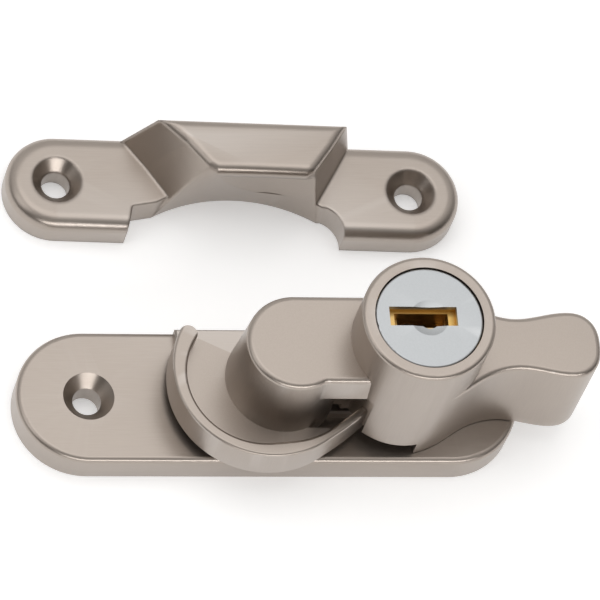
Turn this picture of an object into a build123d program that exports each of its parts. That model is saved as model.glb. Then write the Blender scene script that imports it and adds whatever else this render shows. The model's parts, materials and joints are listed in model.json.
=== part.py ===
from build123d import *
from math import cos, radians, sin, sqrt
import os

os.makedirs("parts", exist_ok=True)

# Keyed sash-window fastener with a swinging crescent cam, and its separate keeper.
# Millimetres. Origin: centre of the base plate's underside. +X along the plate
# towards the thumb grip, +Y towards the keeper, +Z up off the sash rail.

# ---- driving dimensions -------------------------------------------------
PLATE_LENGTH = 70.0
PLATE_WIDTH = 19.5
PLATE_TOP = 4.9
SCREW_SPACING = 50.0
SCREW_BORE_R = 2.0
SCREW_SINK_R = 3.55
PAD_TOP = 6.3
PIVOT_X = 1.0
PIVOT_Y = 0.6
LEVER_BASE = 6.5
WEB_TOP = 9.1
RIM_TOP = 12.0
HUB_TOP = 21.2
SWING = 90.0
BARREL_REACH = 16.6
BARREL_R = 9.2
BARREL_TOP = 28.9
BARREL_FLOOR = 7.8
BARREL_ROUND = 0.6
BARREL_WALL_R = 8.2
RIM_POCKET_R = 13.0
NECK_FLOOR = 16.5
NECK_CORE = 3.6
GRIP_FLOOR = 5.1
STEP_REACH = 18.4
GRIP_END = 42.2
RUNNING = 0.05

PIVOT = (PIVOT_X, PIVOT_Y)
BARREL_X = PIVOT_X + BARREL_REACH
BARREL = (BARREL_X, PIVOT_Y)

# spindle, collar and underside recess
SPINDLE_R = 2.5
COLLAR_R = 4.2
COLLAR_TOP = 12.0
RECESS_R = 6.0
RECESS_TOP = 2.2
HUB_CAVITY_R = 4.5
HUB_CAVITY_TOP = 12.3
SPINDLE_TOP = 16.5

# lock bolt and its drive
BOLT_LOW = 9.4
BOLT_HIGH = 11.6
BOLT_HALF = 2.2
BOLT_TRAVEL = 3.7
BOLT_TIP_OUT = 3.15
DRIVE_OFFSET = 2.62
DRIVE_PIN_R = 0.9

# lock cylinder
BORE_R = 7.5
BORE_FLOOR = 9.3
SHELL_LOW = 13.0
SHELL_HIGH = 27.2
PLUG_R = 5.5
PLUG_HEAD_R = 7.4
CAP_LOW = 28.0
CAP_HIGH = 28.75
KEYWAY_LENGTH = 9.3
KEYWAY_WIDTH = 2.8
KEYWAY_SHIFT = (-0.8, 0.25)
WAFER_COUNT = 5
WAFER_PITCH = 2.4
WAFER_THICK = 1.0
WAFER_TOP_Z = 24.4
WAFER_LENGTH = 10.3
WAFER_WIDTH = 3.5

# crescent screws and the cylinder's grub screw
CRESCENT_SCREW_REACH = 6.15
CRESCENT_SCREW_R = 0.8
CRESCENT_HEAD_R = 1.4
CRESCENT_SCREW_TOP = 13.0
SCREW_SIDES = (-CRESCENT_SCREW_REACH, CRESCENT_SCREW_REACH)
GRUB_R = 1.5
GRUB_Z = 16.0
GRUB_TIP_R = 6.9

# keeper
KEEPER_X = -2.0
KEEPER_Y = 32.5
KEEPER_YAW = -1.44
KEEPER_PLATE = 4.8
KEEPER_LUG_R = 7.1
KEEPER_HOOD = 14.6
KEEPER_CLOSE = 14.85
CAM_CLEARANCE_R = 16.0
POCKET_FLOOR = 4.9
HOOD_CEILING = 12.35


def polar(radius, angle):
    """Point at a radius and angle (degrees) round the lever's pivot."""
    return (
        PIVOT_X + radius * cos(radians(angle)),
        PIVOT_Y + radius * sin(radians(angle)),
    )


def from_pivot(x, y):
    """Point given as an offset from the lever's pivot."""
    return (PIVOT_X + x, PIVOT_Y + y)


def in_keyway(x):
    """Point at a distance along the keyway's middle line, which misses the plug's axis."""
    return (BARREL_X + KEYWAY_SHIFT[0] + x, PIVOT_Y + KEYWAY_SHIFT[1])


def save(part, name):
    """Label a finished piece and write its STEP file."""
    part.label = name
    export_step(part, f"parts/{name}.step")


# where the grub screw enters, in the back of the barrel
GRUB_PLANE = Plane(
    origin=(BARREL_X, PIVOT_Y + BARREL_R, GRUB_Z), x_dir=(1, 0, 0), z_dir=(0, 1, 0)
)

# ---- base ---------------------------------------------------------------
PAD_LEFT = -12.6
PAD_RIGHT = 12.6
PAD_BACK = 9.6
PAD_FRONT = -3.0
STOP_PIN_R = 0.8
STOP_REACH = 9.3
STOP_ANGLE = 187.0
STOP_PIN_TOP = 7.6

with BuildPart() as base_plate:
    with BuildSketch():
        SlotOverall(PLATE_LENGTH, PLATE_WIDTH)
    extrude(amount=PLATE_TOP)
    fillet(base_plate.faces().sort_by(Axis.Z)[-1].edges(), 0.8)
    with BuildSketch(Plane.XY.offset(1.0)):
        with Locations(((PAD_LEFT + PAD_RIGHT) / 2, (PAD_FRONT + PAD_BACK) / 2)):
            Rectangle(PAD_RIGHT - PAD_LEFT, PAD_BACK - PAD_FRONT)
        with Locations(PIVOT):
            Circle(7.0)
    extrude(amount=PAD_TOP - 1.0)
    pad_edges = base_plate.faces().sort_by(Axis.Z)[-1].edges()
    chamfer(pad_edges, 0.3)
    with Locations(*[(x, 0, PLATE_TOP) for x in (-SCREW_SPACING / 2, SCREW_SPACING / 2)]):
        CounterSinkHole(SCREW_BORE_R, SCREW_SINK_R, counter_sink_angle=82)
    with BuildSketch():
        with Locations(PIVOT):
            Circle(RECESS_R)
    extrude(amount=RECESS_TOP, mode=Mode.SUBTRACT)
    with BuildSketch():
        with Locations(PIVOT):
            Circle(COLLAR_R)
    extrude(amount=PAD_TOP, mode=Mode.SUBTRACT)
    with BuildSketch(Plane.XY.offset(3.0)):
        with Locations(polar(STOP_REACH, STOP_ANGLE)):
            Circle(STOP_PIN_R)
    extrude(amount=PAD_TOP - 3.0, mode=Mode.SUBTRACT)
save(base_plate.part, "base_plate")

# Bush pressed into the plate; the lock bolt enters its two notches.
NOTCH_FLOOR_R = 3.1
NOTCH_HALF = 2.45
with BuildPart() as bearing_collar:
    with BuildSketch(Plane.XY.offset(RECESS_TOP)):
        with Locations(PIVOT):
            Circle(COLLAR_R)
            Circle(SPINDLE_R + RUNNING, mode=Mode.SUBTRACT)
    extrude(amount=COLLAR_TOP - RECESS_TOP)
    for notch_angle in (0, -SWING):
        with BuildSketch(Plane.XY.offset(BOLT_LOW - 0.2)):
            with Locations(Location((*polar(NOTCH_FLOOR_R + 1.5, notch_angle), 0), notch_angle)):
                Rectangle(3.0, 2 * NOTCH_HALF)
        extrude(amount=COLLAR_TOP - BOLT_LOW + 0.2, mode=Mode.SUBTRACT)
save(bearing_collar.part, "bearing_collar")

with BuildPart() as stop_pin:
    with BuildSketch(Plane.XY.offset(3.0)):
        with Locations(polar(STOP_REACH, STOP_ANGLE)):
            Circle(STOP_PIN_R)
    extrude(amount=STOP_PIN_TOP - 3.0)
    chamfer(stop_pin.faces().sort_by(Axis.Z)[-1].edges(), 0.15)
save(stop_pin.part, "stop_pin")

# ---- spindle and its underside retention --------------------------------
SPINDLE_LOW = 0.4
CLIP_LOW = 0.8
CLIP_HIGH = 1.3
WASHER_HIGH = 1.75
GROOVE_R = 1.9

with BuildPart() as spindle:
    with BuildSketch(Plane.XY.offset(SPINDLE_LOW)):
        with Locations(PIVOT):
            Circle(SPINDLE_R)
    extrude(amount=SPINDLE_TOP - SPINDLE_LOW)
    chamfer(spindle.edges().sort_by(Axis.Z)[0], 0.2)
    with BuildSketch(Plane.XY.offset(CLIP_LOW)):
        with Locations(PIVOT):
            Circle(SPINDLE_R + 1)
            Circle(GROOVE_R, mode=Mode.SUBTRACT)
    extrude(amount=CLIP_HIGH - CLIP_LOW, mode=Mode.SUBTRACT)
save(spindle.part, "spindle")

with BuildPart() as retaining_clip:
    with BuildSketch(Plane.XY.offset(CLIP_LOW)):
        with Locations(PIVOT):
            Circle(4.4)
            Circle(2.6, mode=Mode.SUBTRACT)
        for prong_angle in (60, 180, 300):
            with Locations(Location((*polar(2.6, prong_angle), 0), prong_angle)):
                Rectangle(1.4, 1.4)
        with Locations(from_pivot(3.6, 0)):
            Rectangle(3.6, 2.6, mode=Mode.SUBTRACT)
        with Locations(PIVOT):
            Circle(GROOVE_R, mode=Mode.SUBTRACT)
    extrude(amount=CLIP_HIGH - CLIP_LOW)
save(retaining_clip.part, "retaining_clip")

with BuildPart() as flat_washer:
    with BuildSketch(Plane.XY.offset(CLIP_HIGH)):
        with Locations(PIVOT):
            Circle(5.4)
            Circle(SPINDLE_R + 0.1, mode=Mode.SUBTRACT)
    extrude(amount=WASHER_HIGH - CLIP_HIGH)
save(flat_washer.part, "flat_washer")

with BuildPart() as friction_washer:
    with BuildSketch(Plane.XY.offset(WASHER_HIGH)):
        with Locations(PIVOT):
            Circle(5.0)
            Circle(SPINDLE_R + 0.1, mode=Mode.SUBTRACT)
    extrude(amount=RECESS_TOP - RUNNING - WASHER_HIGH)
save(friction_washer.part, "friction_washer")

# ---- lever casting: hub, neck, lock barrel and thumb grip -----------------
HUB_TOP_R = 6.9
HUB_FOOT_R = 7.8
NECK_FRONT = 6.0
EDGE_ROUND = 0.8
# reach from the pivot and half width of the thumb grip, root to bulge
GRIP_OUTLINE = (
    (18.35, 9.0), (22.0, 7.6), (25.5, 5.35), (31.0, 3.9), (37.6, 4.9), (40.0, 4.49), (41.6, 2.97)
)

with BuildPart() as lever_body:
    # hub, drafted wider towards its foot
    with BuildSketch(Plane.XY.offset(WEB_TOP)):
        with Locations(PIVOT):
            Circle(HUB_FOOT_R)
    with BuildSketch(Plane.XY.offset(HUB_TOP)):
        with Locations(PIVOT):
            Circle(HUB_TOP_R)
    loft()
    # neck: a narrow core low down, and a wider bridge over the crescent's rim
    with BuildSketch(Plane.XY.offset(WEB_TOP)):
        with Locations(from_pivot(BARREL_REACH / 2, 0)):
            Rectangle(BARREL_REACH, 2 * NECK_CORE)
    extrude(amount=NECK_FLOOR - WEB_TOP)
    for height, half, front in ((NECK_FLOOR, 7.2, 0.3), (HUB_TOP, HUB_TOP_R, 0.0)):
        with BuildSketch(Plane.XY.offset(height)):
            with BuildLine():
                Polyline(
                    from_pivot(0, half),
                    from_pivot(0, -half),
                    from_pivot(3.6 + front, -NECK_FRONT - front),
                    from_pivot(BARREL_REACH, -NECK_FRONT - front),
                    from_pivot(BARREL_REACH, half),
                    close=True,
                )
            make_face()
    loft()
    # grip: a waisted, round-ended upright slab, symmetrical about the lever's line
    with BuildSketch(Plane.XY.offset(GRIP_FLOOR)):
        with BuildLine():
            grip_side = Spline(
                *[from_pivot(x, -y) for x, y in GRIP_OUTLINE],
                from_pivot(GRIP_END, 0),
                *[from_pivot(x, y) for x, y in reversed(GRIP_OUTLINE)],
                tangents=[(1, 0.2), (-1, 0.2)],
            )
            Line(grip_side @ 0, grip_side @ 1)
        make_face()
    extrude(amount=HUB_TOP - GRIP_FLOOR)
    top_edges = lever_body.faces().filter_by(Plane.XY).group_by(Axis.Z)[-1].edges()
    barrel_middle = Vector(*BARREL, HUB_TOP)
    fillet([e for e in top_edges if (e.center() - barrel_middle).length > BARREL_R / 2], EDGE_ROUND)
    # lock barrel, its foot stepped up where it passes over the pad
    with BuildSketch(Plane.XY.offset(GRIP_FLOOR)):
        with Locations(BARREL):
            Circle(BARREL_R)
    extrude(amount=BARREL_TOP - GRIP_FLOOR)
    fillet(lever_body.edges().filter_by(GeomType.CIRCLE).sort_by(Axis.Z)[-1], BARREL_ROUND)
    with BuildSketch(Plane.XY.offset(GRIP_FLOOR)):
        with Locations(from_pivot(STEP_REACH - 10, 0)):
            Rectangle(20, 24)
    extrude(amount=BARREL_FLOOR - GRIP_FLOOR, mode=Mode.SUBTRACT)
    # notch in the barrel that the end of the rim runs into
    with BuildSketch(Plane.XY.offset(GRIP_FLOOR)):
        with Locations(PIVOT):
            Circle(RIM_POCKET_R)
            Circle(HUB_FOOT_R + 0.1, mode=Mode.SUBTRACT)
        with Locations(BARREL):
            Circle(BARREL_WALL_R, mode=Mode.SUBTRACT)
        with Locations(from_pivot(0, 20 - NECK_CORE)):
            Rectangle(60, 40, mode=Mode.SUBTRACT)
    extrude(amount=NECK_FLOOR - GRIP_FLOOR, mode=Mode.SUBTRACT)
    # bore for the lock cylinder
    with BuildSketch(Plane.XY.offset(BORE_FLOOR)):
        with Locations(BARREL):
            Circle(BORE_R)
    extrude(amount=BARREL_TOP - BORE_FLOOR, mode=Mode.SUBTRACT)
    # cavity over the collar and blind bore for the spindle
    with BuildSketch(Plane.XY.offset(WEB_TOP)):
        with Locations(PIVOT):
            Circle(HUB_CAVITY_R)
    extrude(amount=HUB_CAVITY_TOP - WEB_TOP, mode=Mode.SUBTRACT)
    with BuildSketch(Plane.XY.offset(WEB_TOP)):
        with Locations(PIVOT):
            Circle(SPINDLE_R)
    extrude(amount=SPINDLE_TOP - WEB_TOP, mode=Mode.SUBTRACT)
    # channel that guides the lock bolt from the barrel into the hub
    with BuildSketch(Plane.XY.offset(BOLT_LOW - 0.1)):
        with Locations(from_pivot(BARREL_REACH / 2, 0)):
            Rectangle(BARREL_REACH - 6, 2 * BOLT_HALF + 0.2)
    extrude(amount=BOLT_HIGH - BOLT_LOW + 0.2, mode=Mode.SUBTRACT)
    # threads for the crescent's screws
    with BuildSketch(Plane.XY.offset(WEB_TOP)):
        with Locations(*[from_pivot(0, y) for y in SCREW_SIDES]):
            Circle(CRESCENT_SCREW_R)
    extrude(amount=CRESCENT_SCREW_TOP - WEB_TOP, mode=Mode.SUBTRACT)
    # hole for the cylinder's grub screw, in the back of the barrel
    with BuildSketch(GRUB_PLANE):
        Circle(GRUB_R)
    extrude(amount=-6, mode=Mode.SUBTRACT)
save(lever_body.part, "lever_body")

# ---- crescent cam ---------------------------------------------------------
# The rim lies between two arcs struck from different centres: it is widest at
# its leading end and thins towards the barrel, where it closes on the pivot.
RIM_ROUND = 0.4
TONGUE_REACH = 6.1

with BuildPart() as crescent:
    with BuildSketch(Plane.XY.offset(LEVER_BASE)):
        with BuildLine():
            outer = CenterArc(from_pivot(-2.4, 0.3), 13.05, 153, 152)
            inner = CenterArc(from_pivot(-3.4, -0.6), 10.15, 145, 132)
            outer_tail = Spline(
                outer @ 1,
                from_pivot(7.3, -8.9),
                from_pivot(9.5, -7.25),
                from_pivot(11.5, -5.5),
                tangents=[outer % 1, (1, 1)],
            )
            inner_tail = Spline(
                inner @ 1,
                from_pivot(2.2, -10.1),
                from_pivot(5.6, -8.6),
                from_pivot(8.3, -6.6),
                from_pivot(10.7, -4.7),
                tangents=[inner % 1, (1, 1)],
            )
            Line(outer_tail @ 1, inner_tail @ 1)
            ThreePointArc(outer @ 0, from_pivot(-12.45, 6.7), inner @ 0)
        make_face()
    extrude(amount=RIM_TOP - LEVER_BASE)
    rim_edges = crescent.faces().sort_by(Axis.Z)[-1].edges()
    fillet([e for e in rim_edges if e.length > 4], RIM_ROUND)
    # web that carries the rim from a ring under the hub
    with BuildSketch(Plane.XY.offset(LEVER_BASE)):
        with BuildLine():
            web_edge = CenterArc(from_pivot(-3.4, -0.6), 10.55, 145, 132)
            Polyline(
                web_edge @ 1,
                from_pivot(2.3, -10.6),
                from_pivot(TONGUE_REACH + 0.1, -8.9),
                from_pivot(TONGUE_REACH, -7.2),
                from_pivot(0, -7.1),
                PIVOT,
                from_pivot(-6.6, 4.0),
                from_pivot(-11.0, 6.2),
                from_pivot(-12.6, 5.9),
                web_edge @ 0,
            )
        make_face()
        with Locations(PIVOT):
            Circle(HUB_FOOT_R)
            Circle(HUB_CAVITY_R, mode=Mode.SUBTRACT)
    extrude(amount=WEB_TOP - LEVER_BASE)
    # room for the barrel's wall
    with BuildSketch(Plane.XY.offset(BARREL_FLOOR - RUNNING)):
        with Locations(BARREL):
            Circle(BARREL_WALL_R + RUNNING)
        with Locations(from_pivot(BARREL_REACH - BARREL_R + 1.45, 0)):
            Rectangle(3.0, 5.0)
    extrude(amount=RIM_TOP, mode=Mode.SUBTRACT)
    # track for the stop pin
    with BuildSketch(Plane.XY.offset(LEVER_BASE)):
        SlotArc(CenterArc(PIVOT, STOP_REACH, STOP_ANGLE, SWING), 2 * STOP_PIN_R + 0.3)
    extrude(amount=STOP_PIN_TOP + 0.3 - LEVER_BASE, mode=Mode.SUBTRACT)
    with Locations(*[Plane(origin=(*from_pivot(0, y), LEVER_BASE), z_dir=(0, 0, -1)) for y in SCREW_SIDES]):
        CounterSinkHole(CRESCENT_SCREW_R, CRESCENT_HEAD_R)
save(crescent.part, "crescent")

with BuildPart() as crescent_screws:
    for y in SCREW_SIDES:
        with BuildSketch(Plane.XZ.offset(-PIVOT_Y - y)):
            with BuildLine():
                Polyline(
                    (PIVOT_X, LEVER_BASE + 0.05),
                    (PIVOT_X + CRESCENT_HEAD_R - 0.05, LEVER_BASE + 0.05),
                    (PIVOT_X + CRESCENT_SCREW_R, LEVER_BASE + CRESCENT_HEAD_R - CRESCENT_SCREW_R),
                    (PIVOT_X + CRESCENT_SCREW_R, CRESCENT_SCREW_TOP - 0.2),
                    (PIVOT_X, CRESCENT_SCREW_TOP - 0.2),
                    close=True,
                )
            make_face()
        revolve(axis=Axis((*from_pivot(0, y), 0), (0, 0, 1)))
save(crescent_screws.part, "crescent_screws")

# ---- lock cylinder --------------------------------------------------------
GROOVE_HALF = 1.9
GROOVE_DEPTH_R = 6.4
with BuildPart() as cylinder_shell:
    with BuildSketch(Plane.XY.offset(SHELL_LOW)):
        with Locations(BARREL):
            Circle(BORE_R - 0.02)
            Circle(PLUG_R + RUNNING, mode=Mode.SUBTRACT)
            Rectangle(2 * GROOVE_DEPTH_R, 2 * GROOVE_HALF, mode=Mode.SUBTRACT)
            Rectangle(2 * GROOVE_HALF, 2 * GROOVE_DEPTH_R, mode=Mode.SUBTRACT)
    extrude(amount=SHELL_HIGH - SHELL_LOW)
    with BuildSketch(GRUB_PLANE):
        Circle(GRUB_R)
    extrude(amount=-(BARREL_R - GRUB_TIP_R), mode=Mode.SUBTRACT)
save(cylinder_shell.part, "cylinder_shell")

with BuildPart() as shell_grub_screw:
    with BuildSketch(GRUB_PLANE.offset(-0.9)):
        Circle(GRUB_R - 0.02)
    extrude(amount=-(BARREL_R - GRUB_TIP_R - 0.9))
    with BuildSketch(GRUB_PLANE.offset(-0.9)):
        RegularPolygon(0.75, 6)
    extrude(amount=-0.7, mode=Mode.SUBTRACT)
save(shell_grub_screw.part, "shell_grub_screw")

BLADE_WIDTH = 2.1
BLADE_LENGTH = 7.4
KEY_ENTRY_R = 1.5
DISH_R = 10.0
DISH_DEPTH = 0.35
HEAD_LOW = SHELL_HIGH + RUNNING
SPRING_LOW = 14.5
SPRING_HIGH = 25.7
with BuildPart() as plug:
    with BuildSketch(Plane.XY.offset(SHELL_LOW)):
        with Locations(BARREL):
            Circle(PLUG_R)
    extrude(amount=HEAD_LOW - SHELL_LOW)
    with BuildSketch(Plane.XY.offset(HEAD_LOW)):
        with Locations(BARREL):
            Circle(PLUG_HEAD_R)
    extrude(amount=CAP_LOW - HEAD_LOW)
    # keyway down to the tail
    with BuildSketch(Plane.XY.offset(SHELL_LOW + 1.5)):
        with Locations(in_keyway(0)):
            Rectangle(BLADE_LENGTH, BLADE_WIDTH)
    extrude(amount=CAP_LOW - SHELL_LOW - 1.5, mode=Mode.SUBTRACT)
    with BuildSketch(Plane.XY.offset(HEAD_LOW)):
        with Locations(in_keyway(0)):
            Rectangle(KEYWAY_LENGTH, KEYWAY_WIDTH)
    extrude(amount=CAP_LOW - HEAD_LOW, mode=Mode.SUBTRACT)
    # slots across the plug for the wafers
    for i in range(WAFER_COUNT):
        with BuildSketch(Plane.XY.offset(WAFER_TOP_Z - i * WAFER_PITCH - 0.05)):
            with Locations(BARREL):
                Rectangle(2 * PLUG_R + 1, WAFER_WIDTH + 0.1)
        extrude(amount=WAFER_THICK + 0.1, mode=Mode.SUBTRACT)
    # pocket for the wafers' comb spring
    with BuildSketch(Plane.XZ.offset(-PIVOT_Y - WAFER_WIDTH / 2)):
        with Locations((BARREL_X + 0.7, (SPRING_LOW + SPRING_HIGH) / 2)):
            Rectangle(3.8, SPRING_HIGH - SPRING_LOW + 0.4)
    extrude(amount=-0.75, mode=Mode.SUBTRACT)
    # tapped hole for the tail screw
    with BuildSketch(Plane.XY.offset(SHELL_LOW)):
        with Locations(BARREL):
            Circle(0.8)
    extrude(amount=1.5, mode=Mode.SUBTRACT)
save(plug.part, "plug")

with BuildPart() as plug_face_cap:
    with BuildSketch(Plane.XY.offset(CAP_LOW)):
        with Locations(BARREL):
            Circle(PLUG_HEAD_R)
    extrude(amount=CAP_HIGH - CAP_LOW)
    fillet(plug_face_cap.edges().filter_by(GeomType.CIRCLE).sort_by(Axis.Z)[-1], 0.3)
    with BuildSketch(Plane.XY.offset(CAP_LOW)):
        with Locations(in_keyway(0)):
            Rectangle(KEYWAY_LENGTH, KEYWAY_WIDTH)
        with Locations(BARREL):
            Circle(KEY_ENTRY_R)
    extrude(amount=CAP_HIGH - CAP_LOW, mode=Mode.SUBTRACT)
    with Locations((BARREL_X, PIVOT_Y, CAP_HIGH - DISH_DEPTH + DISH_R)):
        Sphere(DISH_R, mode=Mode.SUBTRACT)
save(plug_face_cap.part, "plug_face_cap")

for i in range(WAFER_COUNT):
    offset_x = (0.35, -0.2, 0.0, -0.35, 0.2)[i]
    with BuildPart() as wafer:
        with BuildSketch(Plane.XY.offset(WAFER_TOP_Z - i * WAFER_PITCH)):
            with Locations(BARREL):
                Rectangle(WAFER_LENGTH, WAFER_WIDTH)
            with Locations(in_keyway(offset_x)):
                Rectangle(BLADE_LENGTH - 0.8, BLADE_WIDTH, mode=Mode.SUBTRACT)
        extrude(amount=WAFER_THICK)
        chamfer(wafer.edges().filter_by(Axis.Z).sort_by(Axis.X)[:2], 0.3)
        chamfer(wafer.edges().filter_by(Axis.Z).sort_by(Axis.X)[-2:], 0.3)
    save(wafer.part, f"wafer_{i + 1}")

with BuildPart() as wafer_spring:
    with BuildSketch(Plane.XZ.offset(-PIVOT_Y - WAFER_WIDTH / 2 - 0.25)):
        with Locations((BARREL_X - 0.7, (SPRING_LOW + SPRING_HIGH) / 2)):
            Rectangle(0.6, SPRING_HIGH - SPRING_LOW)
        for i in range(WAFER_COUNT):
            with Locations((BARREL_X + 0.9, WAFER_TOP_Z - i * WAFER_PITCH + WAFER_THICK / 2)):
                Rectangle(2.8, 0.8)
    extrude(amount=-0.3)
save(wafer_spring.part, "wafer_spring")

# Tail of the plug: a disc that also keeps the plug in its shell, with an
# offset pin that drives the bolt.
TAIL_LOW = 11.9
with BuildPart() as tail_cam:
    with BuildSketch(Plane.XY.offset(TAIL_LOW)):
        with Locations(BARREL):
            Circle(6.6)
    extrude(amount=SHELL_LOW - RUNNING - TAIL_LOW)
    with BuildSketch(Plane.XY.offset(TAIL_LOW)):
        with Locations(BARREL):
            Circle(PLUG_R - 0.3)
    extrude(amount=SHELL_LOW - TAIL_LOW)
    with BuildSketch(Plane.XY.offset(BOLT_LOW + 0.1)):
        with Locations(
            (BARREL_X + DRIVE_OFFSET * cos(radians(45)), PIVOT_Y + DRIVE_OFFSET * sin(radians(45)))
        ):
            Circle(DRIVE_PIN_R)
    extrude(amount=TAIL_LOW - BOLT_LOW)
    with Locations(Plane(origin=(BARREL_X, PIVOT_Y, TAIL_LOW), z_dir=(0, 0, -1))):
        CounterSinkHole(0.8, 1.5)
save(tail_cam.part, "tail_cam")

with BuildPart() as tail_screw:
    with BuildSketch(Plane.XZ.offset(-PIVOT_Y)):
        with BuildLine():
            Polyline(
                (BARREL_X, TAIL_LOW + 0.05),
                (BARREL_X + 1.45, TAIL_LOW + 0.05),
                (BARREL_X + 0.78, TAIL_LOW + 0.72),
                (BARREL_X + 0.78, SHELL_LOW + 1.3),
                (BARREL_X, SHELL_LOW + 1.3),
                close=True,
            )
        make_face()
    revolve(axis=Axis((BARREL_X, PIVOT_Y, 0), (0, 0, 1)))
save(tail_screw.part, "tail_screw")

# Lock bolt: a flat shank towards the hub, and a yoke with a cross slot for the
# tail pin. It stands withdrawn, clear of the collar.
YOKE_NEAR = 17.2
YOKE_FAR = 21.4
SLOT_X = BARREL_X + DRIVE_OFFSET * cos(radians(45))
TIP_X = PIVOT_X + BOLT_TIP_OUT + BOLT_TRAVEL
with BuildPart() as lock_bolt:
    with BuildSketch(Plane.XY.offset(BOLT_LOW)):
        with Locations(((TIP_X + YOKE_NEAR) / 2, PIVOT_Y)):
            Rectangle(YOKE_NEAR - TIP_X, 2 * BOLT_HALF)
        with Locations(((YOKE_NEAR + YOKE_FAR) / 2, PIVOT_Y + 0.8)):
            Rectangle(YOKE_FAR - YOKE_NEAR, 7.6)
        with Locations((SLOT_X, PIVOT_Y + 2.2)):
            Rectangle(2 * DRIVE_PIN_R + 0.4, 3.2, mode=Mode.SUBTRACT)
    extrude(amount=BOLT_HIGH - BOLT_LOW)
    chamfer(lock_bolt.edges().filter_by(Axis.Z).sort_by(Axis.X)[:2], 0.5)
save(lock_bolt.part, "lock_bolt")

# ---- keeper ----------------------------------------------------------------
# Drawn about its own screw line, then set down in front of the base.
ARCH_R = 23.6
ARCH_MID = (0.5, 0.1)
LUG_ROUND = 1.9
HOOD_ROUND = 1.2
KEEPER_PLACE = Location((KEEPER_X, KEEPER_Y, 0), (0, 0, KEEPER_YAW))
CAM_CLOSED = KEEPER_PLACE.inverse() * Location((PIVOT_X, PIVOT_Y + KEEPER_CLOSE, POCKET_FLOOR))


def arch(u):
    """Point on the arched front of the keeper's foot."""
    return (u, ARCH_MID[1] - ARCH_R + sqrt(ARCH_R**2 - (u - ARCH_MID[0]) ** 2))


with BuildPart() as keeper:
    with BuildSketch():
        SlotCenterToCenter(SCREW_SPACING, 2 * KEEPER_LUG_R)
    extrude(amount=KEEPER_PLATE)
    fillet(keeper.faces().sort_by(Axis.Z)[-1].edges(), LUG_ROUND)
    # gap between the lugs, arched where the crescent swings in
    with BuildSketch():
        with BuildLine():
            ThreePointArc(arch(-11.2), arch(0.5), arch(12.2))
            Line(arch(12.2), (12.75, -3.0))
            ThreePointArc((12.75, -3.0), (14.5, -4.4), (15.2, -KEEPER_LUG_R))
            Polyline((15.2, -KEEPER_LUG_R), (15.2, -9), (-15.3, -9), (-15.3, -KEEPER_LUG_R))
            Polyline((-15.3, -KEEPER_LUG_R), (-14.6, -3.7), arch(-11.2))
        make_face()
    extrude(amount=KEEPER_PLATE, mode=Mode.SUBTRACT)
    # hood rising from the arched foot to the straight lip of the nose
    with BuildSketch():
        with BuildLine():
            for start, end in ((-11.2, -4.0), (-4.0, 6.5), (6.5, 12.2)):
                ThreePointArc(arch(start), arch((start + end) / 2), arch(end))
            Polyline(arch(12.2), (17.5, KEEPER_LUG_R), (-17.5, KEEPER_LUG_R), arch(-11.2))
        make_face()
    with BuildSketch(Plane.XY.offset(KEEPER_HOOD)):
        with BuildLine():
            Polyline((-8, 1.5), (-4.2, -3), (8.7, -3), (12, 1.5), (14.2, 5), (-11.8, 5), close=True)
        make_face()
    loft(ruled=True)
    fillet(keeper.faces().sort_by(Axis.Z)[-1].edges(), HOOD_ROUND)
    # pocket the crescent turns into under the nose, running out through the front
    with BuildSketch(Plane(CAM_CLOSED)):
        Circle(CAM_CLEARANCE_R)
    extrude(amount=HOOD_CEILING - POCKET_FLOOR, mode=Mode.SUBTRACT)
    with Locations(*[(x, 0, KEEPER_PLATE) for x in (-SCREW_SPACING / 2, SCREW_SPACING / 2)]):
        CounterSinkHole(SCREW_BORE_R, SCREW_SINK_R, counter_sink_angle=82)
save(keeper.part.moved(KEEPER_PLACE), "keeper")
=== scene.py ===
import json
from math import cos, radians, sin

import bpy
from mathutils import Matrix, Vector

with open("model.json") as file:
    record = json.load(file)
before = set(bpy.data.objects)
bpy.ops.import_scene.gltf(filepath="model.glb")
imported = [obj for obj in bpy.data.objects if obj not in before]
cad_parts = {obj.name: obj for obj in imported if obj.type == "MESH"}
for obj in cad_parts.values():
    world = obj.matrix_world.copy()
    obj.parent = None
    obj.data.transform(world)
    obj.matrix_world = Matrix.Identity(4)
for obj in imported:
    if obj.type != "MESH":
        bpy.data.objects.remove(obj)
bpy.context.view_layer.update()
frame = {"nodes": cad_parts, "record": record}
MM = 0.001

# ---- camera: azimuth from straight in front, elevation above the floor --------
CAMERA_AZIMUTH = radians(-25.83)
CAMERA_ELEVATION = radians(61.38)
CAMERA_ROLL = radians(23.48)
CAMERA_DISTANCE = 921.3 * MM
CAMERA_TARGET = Vector((4.94, 13.31, 8.0)) * MM
CAMERA_CLIP_START = 10.0 * MM
LENS_MM = 402.1
SENSOR_MM = 36.0

# ---- rounding of the edges that show ------------------------------------------
EDGE_SOFTNESS = {
    "base_plate": 0.22 * MM,
    "lever_body": 0.28 * MM,
    "crescent": 0.18 * MM,
    "keeper": 0.30 * MM,
    "plug_face_cap": 0.08 * MM,
}
EDGE_SEGMENTS = 3
EDGE_ANGLE = radians(32)

# ---- surface: brush streaks and larger blotches vary the colour and the gloss --
STREAK_SCALE = 1.0
STREAK_DETAIL = 3.0
STREAK_ROUGHNESS = 0.6
STREAK_SHARE = 0.6
BLOTCH_SCALE = 90.0
BLOTCH_DETAIL = 4.0
BLOTCH_SHARE = 0.4
TONE_SPAN = (0.3, 0.7)
DARK_TONE = 0.93
LIGHT_TONE = 1.05
# Pointiness over which the painted highlight on convex edges fades in, from none to full.
HIGHLIGHT_FROM = 0.52
HIGHLIGHT_FULL = 0.62
GLOSS_LOW = 0.05
GLOSS_HIGH = 0.07
RELIEF_DEPTH = 0.02 * MM
CREASE_SAMPLES = 8
WHITE = (1, 1, 1, 1)


def set_inputs(node, values):
    """Set a node's inputs, each picked by its name or its number."""
    for key, value in values.items():
        node.inputs[key].default_value = value


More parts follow.
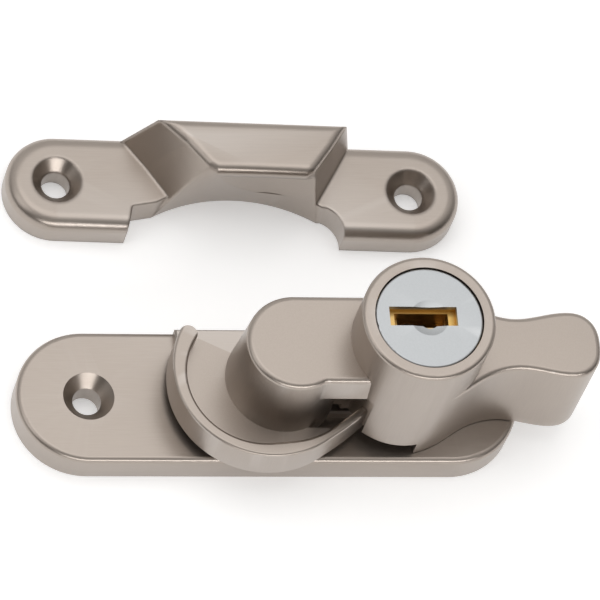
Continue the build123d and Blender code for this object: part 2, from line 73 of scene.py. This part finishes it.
def add_node(tree, kind, values):
    """New node of a kind, with its inputs set."""
    node = tree.nodes.new(kind)
    set_inputs(node, values)
    return node


def set_ramp(ramp, span, colours):
    """Put a colour ramp's two stops at the ends of span."""
    for element, position, colour in zip(ramp.color_ramp.elements, span, colours):
        element.position = position
        element.color = (*colour, 1)


def brushed_metal(
    name, colour, roughness, brush, anisotropy=0.0, edge_highlight=0.10, bump=0.05, blend_radius=0.0
):
    """Metal with fine brush lines, blotchy colour and a painted highlight on its convex edges.

    brush is the scale of the streaks along X, Y and Z: a small number gives long streaks.
    The argument after anisotropy sets how far the painted highlight brightens the convex edges, and
    bump how strongly the streaks stand out.
    blend_radius softens the shading over creases; 0 leaves them as they are.
    """
    material = bpy.data.materials.new(name)
    material.use_nodes = True
    tree = material.node_tree
    links = tree.links
    shader = tree.nodes["Principled BSDF"]
    set_inputs(shader, {"Metallic": 1.0, "Anisotropic": anisotropy})
    where = add_node(tree, "ShaderNodeTexCoord", {})

    stretch = add_node(tree, "ShaderNodeMapping", {"Scale": brush})
    links.new(where.outputs["Object"], stretch.inputs["Vector"])
    streak_look = {"Scale": STREAK_SCALE, "Detail": STREAK_DETAIL, "Roughness": STREAK_ROUGHNESS}
    streaks = add_node(tree, "ShaderNodeTexNoise", streak_look)
    links.new(stretch.outputs["Vector"], streaks.inputs["Vector"])

    blotches = add_node(tree, "ShaderNodeTexNoise", {"Scale": BLOTCH_SCALE, "Detail": BLOTCH_DETAIL})
    links.new(where.outputs["Object"], blotches.inputs["Vector"])

    tone = add_node(tree, "ShaderNodeValToRGB", {})
    dark = [channel * DARK_TONE for channel in colour]
    light = [min(1.0, channel * LIGHT_TONE) for channel in colour]
    set_ramp(tone, TONE_SPAN, (dark, light))
    mix = add_node(tree, "ShaderNodeMath", {1: STREAK_SHARE})
    mix.operation = "MULTIPLY_ADD"
    links.new(streaks.outputs["Fac"], mix.inputs[0])
    blotch_part = add_node(tree, "ShaderNodeMath", {1: BLOTCH_SHARE})
    blotch_part.operation = "MULTIPLY"
    links.new(blotches.outputs["Fac"], blotch_part.inputs[0])
    links.new(blotch_part.outputs[0], mix.inputs[2])
    links.new(mix.outputs[0], tone.inputs["Fac"])

    # Painted highlight: convex edges, found by their pointiness, are screened towards white.
    edges = add_node(tree, "ShaderNodeNewGeometry", {})
    highlight_look = {"From Min": HIGHLIGHT_FROM, "From Max": HIGHLIGHT_FULL, "To Max": edge_highlight}
    highlight_ramp = add_node(tree, "ShaderNodeMapRange", highlight_look)
    links.new(edges.outputs["Pointiness"], highlight_ramp.inputs["Value"])
    painted_highlight = add_node(tree, "ShaderNodeMixRGB", {2: WHITE})
    painted_highlight.blend_type = "SCREEN"
    links.new(highlight_ramp.outputs["Result"], painted_highlight.inputs[0])
    links.new(tone.outputs["Color"], painted_highlight.inputs[1])
    links.new(painted_highlight.outputs["Color"], shader.inputs["Base Color"])

    gloss_range = {"To Min": roughness - GLOSS_LOW, "To Max": roughness + GLOSS_HIGH}
    gloss = add_node(tree, "ShaderNodeMapRange", gloss_range)
    links.new(mix.outputs[0], gloss.inputs["Value"])
    links.new(gloss.outputs["Result"], shader.inputs["Roughness"])

    relief = add_node(tree, "ShaderNodeBump", {"Strength": bump, "Distance": RELIEF_DEPTH})
    links.new(streaks.outputs["Fac"], relief.inputs["Height"])
    links.new(relief.outputs["Normal"], shader.inputs["Normal"])
    if blend_radius:
        crease = add_node(tree, "ShaderNodeBevel", {"Radius": blend_radius})
        crease.samples = CREASE_SAMPLES
        links.new(crease.outputs["Normal"], relief.inputs["Normal"])
    return material


# ---- the metals ----------------------------------------------------------------
ALONG_X = (220, 9000, 9000)
ALONG_Z = (7000, 7000, 260)
EVEN_GRAIN = (5200, 5200, 5200)
NICKEL = (0.395, 0.345, 0.305)
SILVER = (0.45, 0.465, 0.475)
GREY_STEEL = (0.46, 0.46, 0.47)
YELLOW_BRASS = (0.62, 0.40, 0.13)
DARK_BRONZE = (0.48, 0.27, 0.12)
KEEPER_BLEND = 0.7 * MM

SATIN = brushed_metal("satin_nickel_long", NICKEL, 0.34, ALONG_X, anisotropy=0.25)
SATIN_KEEPER = brushed_metal(
    "satin_nickel_keeper", NICKEL, 0.33, ALONG_X, anisotropy=0.25, blend_radius=KEEPER_BLEND
)
SATIN_LEVER = brushed_metal("satin_nickel_lever", NICKEL, 0.34, ALONG_Z, anisotropy=0.2)
# The plug face gets a stronger painted highlight on its convex edges.
FACE = brushed_metal("plug_face_silver", SILVER, 0.36, EVEN_GRAIN, edge_highlight=0.15, bump=0.03)
STEEL = brushed_metal("turned_steel", GREY_STEEL, 0.32, EVEN_GRAIN)
BRASS = brushed_metal("machined_brass", YELLOW_BRASS, 0.36, EVEN_GRAIN)
BRONZE = brushed_metal("bronze_sheet", DARK_BRONZE, 0.38, EVEN_GRAIN)

BY_SLOT = {
    "satin_nickel": SATIN,
    "bright_steel": FACE,
    "steel": STEEL,
    "brass": BRASS,
    "bronze": BRONZE,
}
BY_NODE = {"lever_body": SATIN_LEVER, "crescent": SATIN_LEVER, "keeper": SATIN_KEEPER}
slots = {row["node"]: row["material_slot"] for row in frame["record"]["subparts"]}
for name, part in frame["nodes"].items():
    material = BY_NODE.get(name, BY_SLOT[slots[name]])
    part.data.materials.clear()
    part.data.materials.append(material)
    if name in EDGE_SOFTNESS:
        bevel = part.modifiers.new("soft_edges", "BEVEL")
        bevel.width = EDGE_SOFTNESS[name]
        bevel.segments = EDGE_SEGMENTS
        bevel.limit_method = "ANGLE"
        bevel.angle_limit = EDGE_ANGLE
        bevel.harden_normals = False

# ---- floor: white paper, lit slightly from within so that it stays white ---------
FLOOR_HALF = 1.2
FLOOR_DROP = 0.02 * MM
FLOOR_WHITE = (0.96, 0.96, 0.96, 1)
FLOOR_GLOW = 0.30
FLOOR_ROUGHNESS = 0.9
FLOOR_SHEEN = 0.1
mesh = bpy.data.meshes.new("floor")
corners = [
    (x * FLOOR_HALF, y * FLOOR_HALF, -FLOOR_DROP) for x, y in ((-1, -1), (1, -1), (1, 1), (-1, 1))
]
mesh.from_pydata(corners, [], [(0, 1, 2, 3)])
floor = bpy.data.objects.new("floor", mesh)
bpy.context.collection.objects.link(floor)
paper = bpy.data.materials.new("floor_white")
paper.use_nodes = True
set_inputs(
    paper.node_tree.nodes["Principled BSDF"],
    {
        "Base Color": FLOOR_WHITE,
        "Emission Color": WHITE,
        "Emission Strength": FLOOR_GLOW,
        "Roughness": FLOOR_ROUGHNESS,
        "Specular IOR Level": FLOOR_SHEEN,
    },
)
mesh.materials.append(paper)

# ---- room: bright above and behind the object, dark in front of it --------------
ROOM_STRENGTH = 0.78
BRIGHT_TOWARDS = (0.0, 0.55, 0.80)
ROOM_SPAN = (0.05, 0.72)
ROOM_DARK = (0.10, 0.09, 0.08)
ROOM_BRIGHT = (1.0, 0.99, 0.98)
scene = bpy.context.scene
world = bpy.data.worlds.new("studio")
world.use_nodes = True
room = world.node_tree
background = room.nodes["Background"]
set_inputs(background, {"Strength": ROOM_STRENGTH})
heading = add_node(room, "ShaderNodeTexCoord", {})
rise = add_node(room, "ShaderNodeVectorMath", {1: BRIGHT_TOWARDS})
rise.operation = "DOT_PRODUCT"
walls = add_node(room, "ShaderNodeValToRGB", {})
set_ramp(walls, ROOM_SPAN, (ROOM_DARK, ROOM_BRIGHT))
room.links.new(heading.outputs["Generated"], rise.inputs[0])
room.links.new(rise.outputs["Value"], walls.inputs["Fac"])
room.links.new(walls.outputs["Color"], background.inputs["Color"])
scene.world = world
scene.view_settings.view_transform = "Standard"


# ---- lamps: places and sizes in metres -------------------------------------------
def soft_box(name, place, size, watts):
    """Rectangular area light, turned to face the middle of the view."""
    lamp = bpy.data.lights.new(name, "AREA")
    lamp.shape = "RECTANGLE"
    lamp.size, lamp.size_y = size
    lamp.energy = watts
    light = bpy.data.objects.new(name, lamp)
    light.location = place
    direction = CAMERA_TARGET - Vector(place)
    light.rotation_mode = "QUATERNION"
    light.rotation_quaternion = direction.to_track_quat("-Z", "Y")
    bpy.context.collection.objects.link(light)


soft_box("overhead", place=(0.0, 0.12, 0.55), size=(0.50, 0.40), watts=0.60)
soft_box("key_left", place=(-0.45, -0.05, 0.35), size=(0.30, 0.40), watts=0.35)
soft_box("front_strip", place=(0.05, -0.50, 0.22), size=(0.60, 0.10), watts=1.3)

# ---- the camera, rolled about its line of sight ------------------------------------
towards = Vector(
    (
        cos(CAMERA_ELEVATION) * sin(CAMERA_AZIMUTH),
        -cos(CAMERA_ELEVATION) * cos(CAMERA_AZIMUTH),
        sin(CAMERA_ELEVATION),
    )
)
level_right = (-towards).cross(Vector((0, 0, 1))).normalized()
level_up = level_right.cross(-towards)
right = cos(CAMERA_ROLL) * level_right + sin(CAMERA_ROLL) * level_up
up = -sin(CAMERA_ROLL) * level_right + cos(CAMERA_ROLL) * level_up
lens = bpy.data.cameras.new("camera")
lens.lens = LENS_MM
lens.sensor_width = SENSOR_MM
lens.clip_start = CAMERA_CLIP_START
camera = bpy.data.objects.new("camera", lens)
bpy.context.collection.objects.link(camera)
turn = Matrix((right, up, towards)).transposed().to_4x4()
camera.matrix_world = Matrix.Translation(CAMERA_TARGET + towards * CAMERA_DISTANCE) @ turn
scene.camera = camera

bpy.context.view_layer.update()
